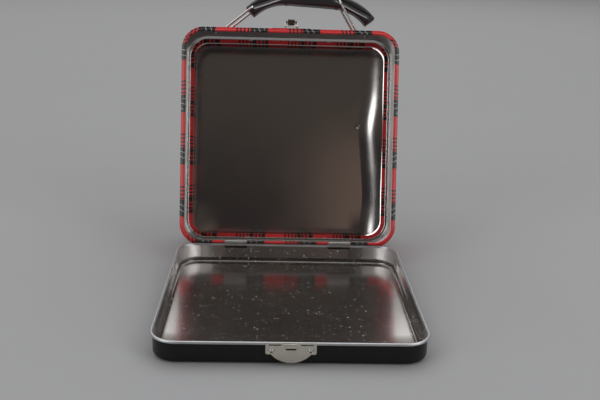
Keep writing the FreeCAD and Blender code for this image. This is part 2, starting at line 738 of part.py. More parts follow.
def make_grip():
    """The grip about the middle of its straight stretch."""
    grip = new_body("handle_grip")
    flat = GRIP_FLAT
    upper = "(grip_bend_radius + grip_thickness / 2)"
    lower = "(grip_bend_radius - grip_thickness / 2)"

    def round_bend(radius, side):
        across = f"{side}({flat} + {radius} * sin(grip_bend_angle))"
        return across, f"{radius} * cos(grip_bend_angle) - grip_bend_radius"

    side = new_sketch(grip, "XY_Plane")
    draw_outline(
        side,
        [
            (f"-{flat}", "grip_thickness / 2"),
            (flat, "grip_thickness / 2"),
            round_bend(upper, ""),
            round_bend(lower, ""),
            (flat, "-grip_thickness / 2"),
            (f"-{flat}", "-grip_thickness / 2"),
            round_bend(lower, "-"),
            round_bend(upper, "-"),
        ],
        {1: (upper, -1), 3: (lower, 1), 5: (lower, 1), 7: (upper, -1)},
    )
    extrude(grip, "Pad", side, "grip_depth", both_ways=True)

    nub = new_sketch(grip, "XY_Plane")
    draw_circle(nub, "grip_nub_spacing / 2", "-grip_thickness / 2", "grip_nub_radius")
    bump = extrude(grip, "Pad", nub, "grip_depth - 3 * grip_edge_radius", both_ways=True)
    mirror(grip, [bump], "YZ_Plane")
    face = number("grip_depth / 2")
    round_edges(grip, "grip_edge_radius", lambda edge: lies_at(edge, "Z", face) or lies_at(edge, "Z", -face))

    bore = "(wire_radius + slot_clearance)"
    inner_x = f"({SLOT_REACH} - slot_length * cos(slot_slope))"
    inner_y = "(-slot_drop + slot_length * sin(slot_slope))"

    def round_end(centre_x, centre_y, angle):
        across = f"{centre_x} + {bore} * cos({angle} - slot_slope)"
        return across, f"{centre_y} + {bore} * sin({angle} - slot_slope)"

    slot = new_sketch(grip, "XY_Plane")
    corners = [round_end(SLOT_REACH, "(-slot_drop)", angle) for angle in ("-90", "0", "90")]
    corners += [round_end(inner_x, inner_y, angle) for angle in ("90", "180", "270")]
    draw_outline(slot, corners, {index: (bore, 1) for index in (0, 1, 3, 4)})
    cut = extrude(grip, "Pocket", slot, "2 * grip_depth", both_ways=True)
    mirror(grip, [cut], "YZ_Plane")
    return grip


# Where the pieces stand: the case leans back until the rear edge of its back pan meets the floor

def case_opening():
    """The angle between the shut box and the box as it stands."""
    corner_y = number(f"case_height / 2 - {WALL_INSET} - pan_edge_radius - {HINGE_Y}")
    corner_z = number(f"{SHUT_DEPTH} - pan_edge_radius - {HINGE_Z}")
    drop = number(f"pan_edge_radius - {HINGE_Z}")
    return math.degrees(math.acos(drop / math.hypot(corner_y, corner_z)) - math.atan2(corner_y, corner_z))


def turn_about(axis, angle):
    return FreeCAD.Placement(FreeCAD.Vector(), FreeCAD.Rotation(FreeCAD.Vector(*axis), angle))


def shift(x, y, z):
    return FreeCAD.Placement(FreeCAD.Vector(x, y, z), FreeCAD.Rotation())


def hinge_line():
    return FreeCAD.Vector(0, number(HINGE_Y), number(HINGE_Z))


def right_link_angle(grip_at):
    """The slope of the right link whose upper bar lies as high in its slot as the left one does."""
    reach, drop = number(SLOT_REACH), number(BAR_DROP)
    slope = math.radians(number("slot_slope"))
    outer = grip_at.multVec(FreeCAD.Vector(reach, -drop, 0))
    inner = grip_at.multVec(FreeCAD.Vector(reach - math.cos(slope), -drop + math.sin(slope), 0))
    pivot = FreeCAD.Vector(number(LINK_PIVOT_X), number(LINK_PIVOT_RISE), 0)
    along = inner - outer
    to_outer = outer - pivot
    half = to_outer.dot(along)
    root = half ** 2 - to_outer.dot(to_outer) + number("link_length") ** 2
    bar = to_outer + along * (-half + math.sqrt(root))
    return math.degrees(math.atan2(bar.y, bar.x))


swing = FreeCAD.Placement(
    FreeCAD.Vector(), FreeCAD.Rotation(FreeCAD.Vector(1, 0, 0), -case_opening()), hinge_line()
)
top_wall = swing * shift(0, number("-case_height / 2"), number(BAND_MIDDLE)) * turn_about((1, 0, 0), 180)
pivot_x, pivot_rise = number(LINK_PIVOT_X), number(LINK_PIVOT_RISE)
left_pivot, right_pivot = shift(-pivot_x, pivot_rise, 0), shift(pivot_x, pivot_rise, 0)
left_turn = turn_about((0, 0, 1), number("left_link_angle"))
upright = turn_about((0, 1, 0), 90)
left_bar = (left_pivot * left_turn).multVec(FreeCAD.Vector(number("link_length"), 0, 0))
grip_tilt = turn_about((0, 0, 1), number("grip_tilt"))
seat_in_grip = FreeCAD.Vector(-number(SLOT_REACH), -number(BAR_DROP), 0)
grip_at = FreeCAD.Placement(left_bar - grip_tilt.multVec(seat_in_grip), grip_tilt.Rotation)
right_angle = right_link_angle(grip_at)
hasp_at = swing * shift(0, number(f"-(case_height / 2 + {HASP_PIVOT_RISE})"), number(HASP_PIVOT_Z))
facing_front = turn_about((1, 0, 0), 180)
strap_x = number("strap_spacing / 2")
bracket_rivet_x = number(f"{LINK_PIVOT_X} + bracket_rivet_reach")
latch_rivet_x = number("latch_rivet_spacing / 2")
gauge = number("sheet_gauge")

lid = make_lid()
back = make_back()
back.Placement = swing * shift(0, 0, number(SHUT_DEPTH)) * facing_front
band = make_band()
band.Placement = swing
left_strap = make_strap("left_hinge_strap")
left_strap.Placement = swing * shift(-strap_x, 0, 0)
right_strap = make_strap("right_hinge_strap")
right_strap.Placement = swing * shift(strap_x, 0, 0)

catch_plate = make_catch_plate()
latch_stack = "sheet_gauge + fit_gap + plate_gauge"
catch_rivets = make_rivet_pair("catch_rivets", "latch_rivet_spacing", latch_stack, "flush_tail_height")
catch_rivets.Placement = shift(
    -latch_rivet_x,
    number(f"-(case_height / 2 - {WALL_INSET} - sheet_gauge)"),
    number(f"lid_depth - {LATCH_RIVET_INSET}"),
) * facing_front
base_plate = make_base_plate()
base_plate.Placement = swing
base_rivets = make_rivet_pair("base_rivets", "latch_rivet_spacing", latch_stack, "inner_tail_height")
base_rivets.Placement = swing * shift(
    -latch_rivet_x,
    number("-case_height / 2 + sheet_gauge"),
    number(f"{BASE_PLATE_FRONT} + {LATCH_RIVET_INSET}"),
) * facing_front
hasp = make_hasp()
hasp.Placement = hasp_at * facing_front * turn_about((1, 0, 0), -number("hasp_open_angle"))
hasp_pin = make_hasp_pin()
hasp_pin.Placement = hasp_at * turn_about((0, 0, 1), 90)

right_bracket = make_bracket("right_handle_bracket")
right_bracket.Placement = top_wall * right_pivot
left_bracket = make_bracket("left_handle_bracket")
left_bracket.Placement = top_wall * left_pivot * turn_about((0, 1, 0), 180)
bracket_rivets = make_rivet_pair(
    "bracket_rivets",
    f"2 * ({LINK_PIVOT_X} + bracket_rivet_reach)",
    "sheet_gauge + fit_gap + bracket_gauge",
    "inner_tail_height",
)
bracket_rivets.Placement = top_wall * shift(-bracket_rivet_x, -gauge, 0)
left_link = make_link("left_wire_link")
left_link.Placement = top_wall * left_pivot * left_turn * upright
right_link = make_link("right_wire_link")
right_link.Placement = top_wall * right_pivot * turn_about((0, 0, 1), right_angle) * upright
grip = make_grip()
grip.Placement = top_wall * grip_at

doc.recompute()
pieces = [
    lid, back, band, left_strap, right_strap, catch_plate, catch_rivets, base_plate, base_rivets,
    hasp, hasp_pin, left_bracket, right_bracket, bracket_rivets, left_link, right_link, grip,
]
for item in doc.Objects:
    if {"Invalid", "Error"} & set(item.State):
        raise RuntimeError(f"{item.Name} did not build: {item.State}")
for piece in pieces:
    if piece.Shape.isNull() or not piece.Shape.isValid():
        raise RuntimeError(f"{piece.Label} has no valid shape")

os.makedirs("parts", exist_ok=True)
for piece in pieces:
    piece.Shape.exportStep(f"parts/{piece.Label}.step")


# The lines that the joints turn about, for the record

def tell(name, at, along=(0, 0, 1)):
    point = at.Base
    axis = at.Rotation.multVec(FreeCAD.Vector(*along))
    print(name, [round(value, 4) for value in point], [round(value, 6) for value in axis])


print("opening", round(case_opening(), 4), "right link", round(right_angle, 4))
tell("case hinge", FreeCAD.Placement(hinge_line(), FreeCAD.Rotation()), (1, 0, 0))
tell("hasp pivot", hasp_at, (1, 0, 0))
tell("left link pivot", top_wall * left_pivot)
tell("right link pivot", top_wall * right_pivot)
tell("left grip pivot", top_wall * shift(left_bar.x, left_bar.y, left_bar.z))
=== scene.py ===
import bpy
import json
import math
from mathutils import Matrix, Vector


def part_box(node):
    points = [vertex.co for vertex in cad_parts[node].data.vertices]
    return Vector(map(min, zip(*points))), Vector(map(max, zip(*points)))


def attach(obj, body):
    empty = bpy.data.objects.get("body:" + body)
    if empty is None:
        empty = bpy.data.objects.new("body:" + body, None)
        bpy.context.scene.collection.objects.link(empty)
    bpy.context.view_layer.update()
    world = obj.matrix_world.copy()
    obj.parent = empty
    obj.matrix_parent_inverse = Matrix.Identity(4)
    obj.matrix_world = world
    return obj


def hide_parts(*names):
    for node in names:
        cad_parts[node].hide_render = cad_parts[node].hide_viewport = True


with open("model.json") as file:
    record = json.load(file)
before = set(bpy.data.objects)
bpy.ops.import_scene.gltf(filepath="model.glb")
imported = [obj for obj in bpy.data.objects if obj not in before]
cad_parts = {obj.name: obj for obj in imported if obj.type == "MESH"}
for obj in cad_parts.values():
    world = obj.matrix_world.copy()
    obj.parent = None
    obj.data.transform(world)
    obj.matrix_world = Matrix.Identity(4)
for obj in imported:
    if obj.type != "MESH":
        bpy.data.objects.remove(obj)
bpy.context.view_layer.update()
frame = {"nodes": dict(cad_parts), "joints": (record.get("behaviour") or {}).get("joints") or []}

nodes = frame["nodes"]
MM = 0.001

# Places read from the frame
joints = {joint["name"]: joint for joint in frame["joints"]}
hinge = Vector(joints["lid_hinge"]["pos_m"])
opening = math.radians(joints["lid_hinge"]["range_deg"][1])
lid_top = Vector(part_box("lid_pan")[1])
half_width = lid_top.x
lid_depth = lid_top.z
bead = 2 * (lid_depth - hinge.z)
lid_rim_start = lid_depth - bead * 1.02

# Heights in the shut box, as the case's solids have them
FRONT_ROLL_END = 13.3 * MM
BACK_RIM_START = 64.0 * MM
BACK_RIM_END = 66.1 * MM
REAR_ROLL_START = 67.9 * MM
BACK_PANEL = 80.0 * MM

# Tinplate: bare, rubbed bright on the rims, dusty, and darker along the foot of the lid's walls
TIN_DULL = (0.60, 0.575, 0.56)
TIN_CLEAN = (0.66, 0.64, 0.63)
TIN_WAVES = 0.2 * MM
SHARP_EDGE = 0.1 * MM
RIM_DULL = (0.50, 0.51, 0.53)
RIM_RUBBED = (0.62, 0.63, 0.65)
DUST = (0.62, 0.61, 0.58)
FOOT_DARK = (0.035, 0.033, 0.031)

# Black lacquer and plated pressings
BLACK_FRESH = (0.005, 0.005, 0.005)
BLACK_RUBBED = (0.010, 0.010, 0.011)
PEEL_HEIGHT = 0.03 * MM
DRAWING_STRETCH = (0.04, 1.0, 1.0)
DRAWING_HEIGHT = 0.05 * MM

# The print: lengths of what repeats, then the shares of a repeat from and to which it is filled
PRINT_RED_DEEP = (0.56, 0.020, 0.024)
PRINT_RED_PALE = (0.66, 0.034, 0.036)
PRINT_BLACK = (0.008, 0.008, 0.008)
PRINT_GREY = (0.42, 0.42, 0.43)
PRINT_GRAIN_HEIGHT = 0.02 * MM
PRINT_FIELD = 22.0 * MM
BLOCK_PERIOD = 43 * MM
BLOCK_SHIFT = 7 * MM
STRIPE_PERIOD = 3.1 * MM
SQUARE_PERIOD = 3.2 * MM
RAIL_PERIOD = 15.8 * MM
RAIL_SHIFT = 2 * MM
HATCH_PERIOD = 4.4 * MM
BLOCK_STRIPED = (0.36, 0.64)
BLOCK_BLACK = (0.64, 0.97)
BLOCK_HATCHED = (0.70, 0.91)
BLOCK_SQUARED = (0.72, 0.90)
STRIPE_FILLED = (0.0, 0.42)
SQUARE_FILLED = (0.25, 0.75)
RAIL_FILLED = (0.44, 0.50)
HATCH_FILLED = (0.0, 0.13)

# Relief of the lid's sheet, which only the finish has, and a darker band along the foot of its walls
BULGE_HEIGHT = 0.9 * MM
EDGE_LIFT = 1.4 * MM
BOW_END = 0.5 * half_width
WALL_FOOT = (1 * MM, 4 * MM)
WALL_BEND = 5.0 * MM
WALL_BEND_STRETCH = (half_width - 40 * MM, half_width - 6 * MM)
FOOT_DARK_LOWER_EDGE = (0.4 * MM, 0.7 * MM)
FOOT_DARK_UPPER_EDGE = (2.2 * MM, 1.4 * MM)
FOOT_DARK_COVER = 0.4

# Relief of the back panel, which only the finish has. Y runs from the latch to the hinge.
CREASE_STRETCH = (67 * MM, 89 * MM)
CREASE_HEIGHT = 6.15 * MM
CREASE_HEIGHT_AT_ENDS = 5.2 * MM
CREASE_MIDDLE = 8 * MM
CREASE_FALL = (25 * MM, 85 * MM)
CREASE_WANDER = 7 * MM
CREASE_BOW = 2.5 * MM
CREASE_BOW_MIDDLE = -8 * MM
CREASE_BOW_REACH = 60 * MM
CORNER_STRETCH = (55 * MM, 90 * MM)
CORNER_PULL = 2.0 * MM
DENT_AT = (63 * MM, -14 * MM, BACK_PANEL)
DENT_RADIUS = 3.0 * MM
DENT_DEPTH = 0.55 * MM

# Inside of the band: the wall's tin darkened with painted shade, lighter with painted light and also scuffed
# on the hinge's side, and brighter from the rear neck on, painted light
FACING_IN = -0.12
SCUFFED_AND_LIT_STRETCH = (80 * MM, 86 * MM)
LIT_NECK_STRETCH = (61.5 * MM, 62.5 * MM)
BAND_EDGE = 0.9 * MM

# Grip
GRIP_DARK = (0.010, 0.010, 0.011)
GRIP_HANDLED = (0.020, 0.020, 0.021)
GRIP_PEBBLE = 0.04 * MM
GRIP_EDGE = 0.5 * MM
GRIP_VOXEL = 0.7 * MM
GRIP_SOFTENING = 0.5
GRIP_SOFTENING_ROUNDS = 30

# Studio, in metres and watts
FLOOR_GREY = (0.36, 0.365, 0.375)
FLOOR_MOTTLE = 0.97
FLOOR_SIZE = 9.0
FLOOR_AT = (0, 2.0, 0)
OVERHEAD_SIZE = 7.0
OVERHEAD_WATTS = 195
OVERHEAD_AT = (0, 2.7, 3.0)
OVERHEAD_AIM = (0, 2.7, 0)
SIDE_BOX_WIDTH = 0.7
SIDE_BOX_HEIGHT = 1.0
SIDE_BOX_WATTS = 7
SIDE_BOX_AIM = (0, 0.08, 0.1)
LEFT_BOX_AT = (-1.12, -0.82, 0.62)
RIGHT_BOX_AT = (1.10, -0.82, 0.62)

# The room round the studio. Its stretches are parts of a direction of length 1.
ROOM_LOW = (0.026, 0.022, 0.022)
ROOM_HIGH = (0.066, 0.058, 0.050)
ROOM_RISE = (0.16, 0.36)
WARM_WALL = (0.16, 0.115, 0.095)
WARM_WALL_AHEAD = (-0.3, -0.6)
WARM_WALL_LEFT_EDGE = (0.0, 0.11)
WARM_WALL_RIGHT_EDGE = (0.5, 0.25)
WARM_WALL_TOP = (0.33, 0.24)

# Camera matched to the photo
LENS = 48.53
SENSOR_WIDTH = 36.0
NEAREST = 0.01
FARTHEST = 50.0
CAMERA_AT = Vector((-13.5, -544.2, 247.1)) * MM
CAMERA_PITCH = math.radians(16.92)
CAMERA_YAW = math.radians(2.07)
CAMERA_ROLL = math.radians(1.62)


# Shader building blocks

class Graph:
    """The nodes of one material or world."""

    def __init__(self, tree):
        self.tree = tree
        self.tree.nodes.clear()
        self.coordinates = self.node("ShaderNodeTexCoord").outputs

    def node(self, kind, **settings):
        made = self.tree.nodes.new(kind)
        for name, value in settings.items():
            setattr(made, name, value)
        return made

    def feed(self, socket, value):
        """Links an output to the socket, or sets the socket to a constant."""
        if isinstance(value, bpy.types.NodeSocket):
            self.tree.links.new(value, socket)
        elif socket.type == "RGBA":
            socket.default_value = (*value, 1.0)
        else:
            socket.default_value = value

    def combine(self, operation, *values):
        made = self.node("ShaderNodeMath", operation=operation)
        for socket, value in zip(made.inputs, values):
            self.feed(socket, value)
        return made.outputs[0]

    def chain(self, operation, first, *others):
        for other in others:
            first = self.combine(operation, first, other)
        return first

    def plus(self, *values):
        return self.chain("ADD", *values)

    def times(self, *values):
        return self.chain("MULTIPLY", *values)

    def most(self, *values):
        return self.chain("MAXIMUM", *values)

    def minus(self, first, second):
        return self.combine("SUBTRACT", first, second)

    def absolute(self, value):
        return self.combine("ABSOLUTE", value)

    def over(self, value, limit):
        return self.combine("GREATER_THAN", value, limit)

    def under(self, value, limit):
        return self.combine("LESS_THAN", value, limit)

    def within(self, value, low, high):
        return self.times(self.over(value, low), self.under(value, high))

    def vector(self, operation, *values):
        made = self.node("ShaderNodeVectorMath", operation=operation)
        for socket, value in zip(made.inputs, values):
            self.feed(socket, value)
        return made.outputs["Value" if operation in ("DOT_PRODUCT", "LENGTH") else "Vector"]

    def split(self, vector):
        made = self.node("ShaderNodeSeparateXYZ")
        self.feed(made.inputs[0], vector)
        return tuple(made.outputs)

    def step(self, value, start, end):
        """Goes smoothly from 0 at start to 1 at end, which may be the smaller."""
        made = self.node("ShaderNodeMapRange", interpolation_type="SMOOTHSTEP")
        for socket, given in zip(made.inputs, (value, start, end, 0.0, 1.0)):
            self.feed(socket, given)
        return made.outputs[0]

    def scaled(self, value, low, high):
        """A 0 to 1 value carried to the range from low to high."""
        made = self.node("ShaderNodeMapRange")
        for socket, given in zip(made.inputs, (value, 0.0, 1.0, low, high)):
            self.feed(socket, given)
        return made.outputs[0]

    def colour(self, factor, low, high):
        """A mix of two colours, which go in at a Mix node's sockets 6 and 7 and come out at 2."""
        made = self.node("ShaderNodeMix", data_type="RGBA")
        self.feed(made.inputs[0], factor)
        self.feed(made.inputs[6], low)
        self.feed(made.inputs[7], high)
        return made.outputs[2]

    def choose(self, factor, low, high):
        """A mix of two numbers, which go in at a Mix node's sockets 2 and 3 and come out at 0."""
        made = self.node("ShaderNodeMix", data_type="FLOAT")
        self.feed(made.inputs[0], factor)
        self.feed(made.inputs[2], low)
        self.feed(made.inputs[3], high)
        return made.outputs[0]

    def noise(self, vector, scale, detail=3.0, roughness=0.5):
        made = self.node("ShaderNodeTexNoise")
        self.feed(made.inputs["Vector"], vector)
        made.inputs["Scale"].default_value = scale
        made.inputs["Detail"].default_value = detail
        made.inputs["Roughness"].default_value = roughness
        return made.outputs[0]

    def specks(self, vector, scale, size):
        """1 inside small scattered specks and 0 elsewhere. Most are far smaller than size."""
        made = self.node("ShaderNodeTexVoronoi")
        self.feed(made.inputs["Vector"], vector)
        made.inputs["Scale"].default_value = scale
        chance = self.split(made.outputs["Color"])[0]
        radius = self.times(self.combine("POWER", chance, 4.0), size)
        return self.under(made.outputs["Distance"], radius)

    def bump(self, height, distance, normal=None):
        made = self.node("ShaderNodeBump")
        made.inputs["Distance"].default_value = distance
        self.feed(made.inputs["Height"], height)
        if normal is not None:
            self.feed(made.inputs["Normal"], normal)
        return made.outputs[0]

    def soft_edges(self, radius):
        made = self.node("ShaderNodeBevel", samples=8)
        made.inputs["Radius"].default_value = radius
        return made.outputs[0]

    def surface(self, colour, metallic, roughness, normal=None, specular=0.5):
        made = self.node("ShaderNodeBsdfPrincipled")
        self.feed(made.inputs["Base Color"], colour)
        self.feed(made.inputs["Metallic"], metallic)
        self.feed(made.inputs["Roughness"], roughness)
        made.inputs["Specular IOR Level"].default_value = specular
        if normal is not None:
            self.feed(made.inputs["Normal"], normal)
        return made.outputs[0]

    def layer(self, factor, below, above):
        made = self.node("ShaderNodeMixShader")
        self.feed(made.inputs[0], factor)
        self.feed(made.inputs[1], below)
        self.feed(made.inputs[2], above)
        return made.outputs[0]


class Finish(Graph):
    """The nodes of one material."""

    def __init__(self, name):
        self.material = bpy.data.materials.new(name)
        self.material.use_nodes = True
        super().__init__(self.material.node_tree)
        self.position = self.coordinates["Object"]
        self.normal = self.coordinates["Normal"]

    def shut(self, vector, centre):
        """A vector of the case, turned as the case turns when the box is shut."""
        made = self.node("ShaderNodeVectorRotate", rotation_type="X_AXIS")
        self.feed(made.inputs["Vector"], vector)
        made.inputs["Center"].default_value = centre
        made.inputs["Angle"].default_value = opening
        return made.outputs[0]

    def shut_position(self):
        return self.shut(self.position, hinge)

    def shut_normal(self):
        return self.shut(self.normal, (0.0, 0.0, 0.0))

    def finish(self, shader):
        output = self.node("ShaderNodeOutputMaterial")
        self.feed(output.inputs["Surface"], shader)
        return self.material


# Finishes that the materials are made of

def bare_tin(graph, position, roughness, relief=None, edge=SHARP_EDGE, painted_light=1.0):
    """Bare tinplate: a soft mirror with rolled waviness and rubbed patches. relief is in metres; the last
    argument scales the tint as a painted light level, and below 1 paints shade into it.
    """
    height = graph.times(graph.noise(position, scale=16.0, detail=1.0), TIN_WAVES)
    if relief is not None:
        height = graph.plus(height, relief)
    normal = graph.bump(height, 1.0, graph.soft_edges(edge))
    rubbed = graph.noise(position, scale=55.0, detail=4.0, roughness=0.6)
    fine = graph.noise(position, scale=900.0, detail=2.0)
    blur = graph.times(graph.scaled(rubbed, low=0.8, high=1.2), roughness)
    blur = graph.plus(blur, graph.times(fine, 0.02))
    # The tints times the last argument: a painted light level, which paints shade below 1
    dull, clean = ([part * painted_light for part in tint] for tint in (TIN_DULL, TIN_CLEAN))
    return graph.surface(graph.colour(rubbed, dull, clean), metallic=1.0, roughness=blur, normal=normal)


def dusted(graph, position, metal):
    """Specks of dust and lint lying on the metal."""
    dust = graph.surface(DUST, metallic=0.0, roughness=0.9)
    drift = graph.step(graph.noise(position, scale=30.0, detail=3.0), start=0.35, end=0.65)
    fine = graph.specks(position, scale=500.0, size=0.31)
    coarse = graph.specks(position, scale=290.0, size=0.14)
    cover = graph.times(graph.most(fine, coarse), graph.scaled(drift, low=0.2, high=0.7))
    return graph.layer(cover, metal, dust)


def bright_rim(graph, position):
    """The rolled rim: the same tin, rubbed brighter."""
    worn = graph.noise(position, scale=180.0, detail=4.0)
    tint = graph.colour(worn, RIM_DULL, RIM_RUBBED)
    return graph.surface(tint, metallic=1.0, roughness=graph.scaled(worn, low=0.38, high=0.52))


def black_lacquer(graph, position):
    """Gloss black lacquer with a faint orange peel and rub marks."""
    peel = graph.noise(position, scale=700.0, detail=2.0)
    rub = graph.noise(position, scale=45.0, detail=5.0, roughness=0.7)
    normal = graph.bump(peel, PEEL_HEIGHT)
    tint = graph.colour(rub, BLACK_FRESH, BLACK_RUBBED)
    blur = graph.scaled(rub, low=0.24, high=0.40)
    return graph.surface(tint, metallic=0.0, roughness=blur, normal=normal, specular=0.25)


def print_lacquer(graph, position):
    """A red and black block print with pinstripes, hatching and small squares, under clear lacquer."""
    def repeat(value, period, shift=0.0):
        """The share of a period that has passed. A metre more keeps the value positive."""
        return graph.combine("FRACT", graph.combine("DIVIDE", graph.plus(value, shift + 1.0), period))

    x, y, z = graph.split(position)
    on_side = graph.over(graph.absolute(x), graph.absolute(y))
    along = graph.choose(on_side, x, y)
    field = graph.over(z, PRINT_FIELD)
    margin = graph.under(z, PRINT_FIELD)
    block = repeat(along, BLOCK_PERIOD, BLOCK_SHIFT)
    black = graph.within(block, *BLOCK_BLACK)
    stripe = graph.within(repeat(along, STRIPE_PERIOD), *STRIPE_FILLED)
    stripes = graph.times(graph.within(block, *BLOCK_STRIPED), stripe)
    columns, rows = (graph.within(repeat(value, SQUARE_PERIOD), *SQUARE_FILLED) for value in (along, z))
    squares = graph.times(columns, rows, graph.within(block, *BLOCK_SQUARED), field)
    rail = graph.times(graph.within(repeat(z, RAIL_PERIOD, RAIL_SHIFT), *RAIL_FILLED), field)
    dark = graph.times(graph.most(black, stripes, rail), graph.minus(1.0, squares))
    slant = graph.within(repeat(graph.plus(along, z), HATCH_PERIOD), *HATCH_FILLED)
    hatch = graph.times(slant, graph.within(block, *BLOCK_HATCHED), margin)
    grain = graph.noise(position, scale=500.0, detail=3.0)
    red = graph.colour(grain, PRINT_RED_DEEP, PRINT_RED_PALE)
    tint = graph.colour(hatch, graph.colour(dark, red, PRINT_BLACK), PRINT_GREY)
    worn = graph.noise(position, scale=120.0, detail=5.0, roughness=0.7)
    blur = graph.scaled(worn, low=0.24, high=0.40)
    return graph.surface(tint, metallic=0.0, roughness=blur, normal=graph.bump(grain, PRINT_GRAIN_HEIGHT))


def plated(name, dark, light, roughness, edge):
    """The material of a plated pressing: soft edges, fine drawing marks and dull patches."""
    graph = Finish(name)
    patches = graph.noise(graph.position, scale=240.0, detail=4.0, roughness=0.6)
    drawn = graph.vector("MULTIPLY", graph.position, DRAWING_STRETCH)
    grain = graph.noise(drawn, scale=1500.0, detail=2.0)
    normal = graph.bump(grain, DRAWING_HEIGHT, graph.soft_edges(edge))
    tint = graph.colour(patches, dark, light)
    blur = graph.scaled(patches, low=roughness * 0.7, high=roughness * 1.4)
    return graph.finish(graph.surface(tint, metallic=1.0, roughness=blur, normal=normal))


def drawn_pan(graph, position, normal, mouth, tin, rim):
    """The material of a drawn pan: black lacquer outside, bare tin inside and a bright rolled rim."""
    from_mouth = graph.vector("SUBTRACT", position, (0.0, 0.0, mouth))
    outside = graph.over(graph.vector("DOT_PRODUCT", normal, from_mouth), 0.0)
    body = graph.layer(outside, tin, black_lacquer(graph, position))
    return graph.finish(graph.layer(rim, body, bright_rim(graph, position)))


# Lid

def lid_material():
    """A bowed floor with lifted edges, walls bent and dulled at the corners, a darker band along the walls'
    foot, and dust.
    """
    graph = Finish("lid_tin")
    x, y, height = graph.split(graph.position)
    sides = [graph.absolute(part) for part in (x, y)]
    bulge = graph.times(*(graph.step(side, BOW_END, 0.0) for side in sides))
    lift = graph.plus(*(graph.step(side, BOW_END, half_width) for side in sides))
    wall = graph.step(height, *WALL_FOOT)
    near = [graph.step(side, *WALL_BEND_STRETCH) for side in sides]
    bend = graph.times(graph.plus(*near), wall)
    forms = ((bulge, BULGE_HEIGHT), (lift, EDGE_LIFT), (bend, WALL_BEND))
    relief = graph.plus(*(graph.times(share, size) for share, size in forms))
    dulled = graph.scaled(graph.times(*near, wall), low=0.17, high=0.50)
    tin = bare_tin(graph, graph.position, roughness=dulled, relief=relief)
    # A near-black layer, laid 0.4 strong, darkens a band along the foot of the walls
    foot = graph.times(graph.step(height, *FOOT_DARK_LOWER_EDGE), graph.step(height, *FOOT_DARK_UPPER_EDGE))
    dark_layer = graph.surface(FOOT_DARK, metallic=0.0, roughness=0.6)
    tin = dusted(graph, graph.position, graph.layer(graph.times(foot, FOOT_DARK_COVER), tin, dark_layer))
    rim = graph.over(height, lid_rim_start)
    return drawn_pan(graph, graph.position, graph.normal, lid_depth, tin, rim)


# Case

def back_relief(graph, position):
    """A bowed crease down the right side, a dent beside it, and the pulled corners on the hinge's side."""
    x, y, _ = graph.split(position)
    wander = graph.times(graph.minus(graph.noise(position, scale=14.0, detail=1.0), 0.5), CREASE_WANDER)
    off_bow = graph.absolute(graph.minus(y, CREASE_BOW_MIDDLE))
    bow = graph.times(graph.step(off_bow, CREASE_BOW_REACH, 0.0), CREASE_BOW)
    rise = graph.step(graph.plus(x, wander, bow), *CREASE_STRETCH)
    off_middle = graph.absolute(graph.minus(y, CREASE_MIDDLE))
    fall = graph.step(off_middle, *CREASE_FALL)
    crease = graph.times(rise, graph.scaled(fall, CREASE_HEIGHT, CREASE_HEIGHT_AT_ENDS))
    off_dent = graph.vector("LENGTH", graph.vector("SUBTRACT", position, DENT_AT))
    dent = graph.times(graph.step(off_dent, DENT_RADIUS, 0.0), DENT_DEPTH)
    corner = [graph.step(side, *CORNER_STRETCH) for side in (graph.absolute(x), y)]
    return graph.plus(crease, dent, graph.times(*corner, CORNER_PULL))


def back_material():
    """A smooth panel with a crease and a dent."""
    graph = Finish("back_tin")
    position, normal = graph.shut_position(), graph.shut_normal()
    tin = bare_tin(graph, position, roughness=0.11, relief=back_relief(graph, position))
    rim = graph.under(graph.split(position)[2], BACK_RIM_END)
    return drawn_pan(graph, position, normal, BACK_RIM_START, tin, rim)


def band_material():
    """Print outside and on both rolls, bare tin on the wall, steps and necks inside, with painted shade on
    the wall and painted light on the hinge's side and the rear neck.
    """
    graph = Finish("band_print")
    position, normal = graph.shut_position(), graph.shut_normal()
    _, y, z = graph.split(position)
    flat = graph.vector("MULTIPLY", position, (1.0, 1.0, 0.0))
    outward = graph.vector("DOT_PRODUCT", normal, graph.vector("NORMALIZE", flat))
    bare = graph.times(graph.under(outward, FACING_IN), graph.within(z, FRONT_ROLL_END, REAR_ROLL_START))
    # Latch side of the wall: the tin's tint painted down to 0.28, painted shade
    clean = bare_tin(graph, position, roughness=0.38, edge=BAND_EDGE, painted_light=0.28)
    # Hinge side: real scuffs and dust, and a tint painted lighter, painted light from above
    scuffed_and_lit = bare_tin(graph, position, roughness=0.45, edge=BAND_EDGE, painted_light=0.75)
    wall = graph.layer(graph.step(y, *SCUFFED_AND_LIT_STRETCH), clean, dusted(graph, position, scuffed_and_lit))
    # From the rear neck on: a lighter copy of the tin, painted light, so the ring shows as a bright line
    lit_neck = bare_tin(graph, position, roughness=0.17, edge=BAND_EDGE, painted_light=0.9)
    tin = graph.layer(graph.step(z, *LIT_NECK_STRETCH), wall, lit_neck)
    return graph.finish(graph.layer(bare, print_lacquer(graph, position), tin))


# Grip

def grip_material():
    """Black plastic with a fine pebble and handled patches."""
    graph = Finish("grip_plastic")
    pebble = graph.noise(graph.position, scale=1400.0, detail=2.0)
    handled = graph.noise(graph.position, scale=70.0, detail=4.0, roughness=0.6)
    normal = graph.bump(pebble, GRIP_PEBBLE, graph.soft_edges(GRIP_EDGE))
    tint = graph.colour(handled, GRIP_DARK, GRIP_HANDLED)
    blur = graph.scaled(handled, low=0.3, high=0.48)
    return graph.finish(graph.surface(tint, metallic=0.0, roughness=blur, normal=normal))


